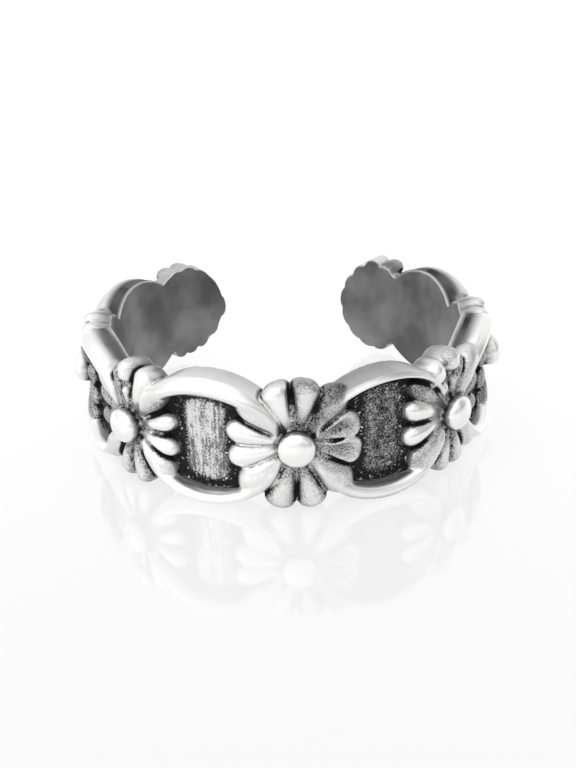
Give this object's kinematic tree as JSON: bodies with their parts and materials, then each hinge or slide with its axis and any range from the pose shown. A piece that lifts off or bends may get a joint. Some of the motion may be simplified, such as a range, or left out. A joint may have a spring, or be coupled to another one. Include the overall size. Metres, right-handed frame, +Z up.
{
  "type": "toe ring",
  "caption": "Open cast silver toe ring with raised daisies joined by arched rails round sunk panels, blackened in its low places.",
  "frame": {"origin": "on the toe hole's axis, in the plane the ring rests on when it lies on its side", "axes": "+Z up along the toe hole's axis, -Y through the middle daisy, +Y through the gap between the free ends, +X to the right seen from the middle daisy"},
  "size_m": [0.0202, 0.0185, 0.0054],
  "materials": {
    "silver": "cast sterling silver, polished on its high places, satin inside, blackened in its low places"
  },
  "bodies": {
    "root": {"ring": "silver"}
  },
  "joints": []
}
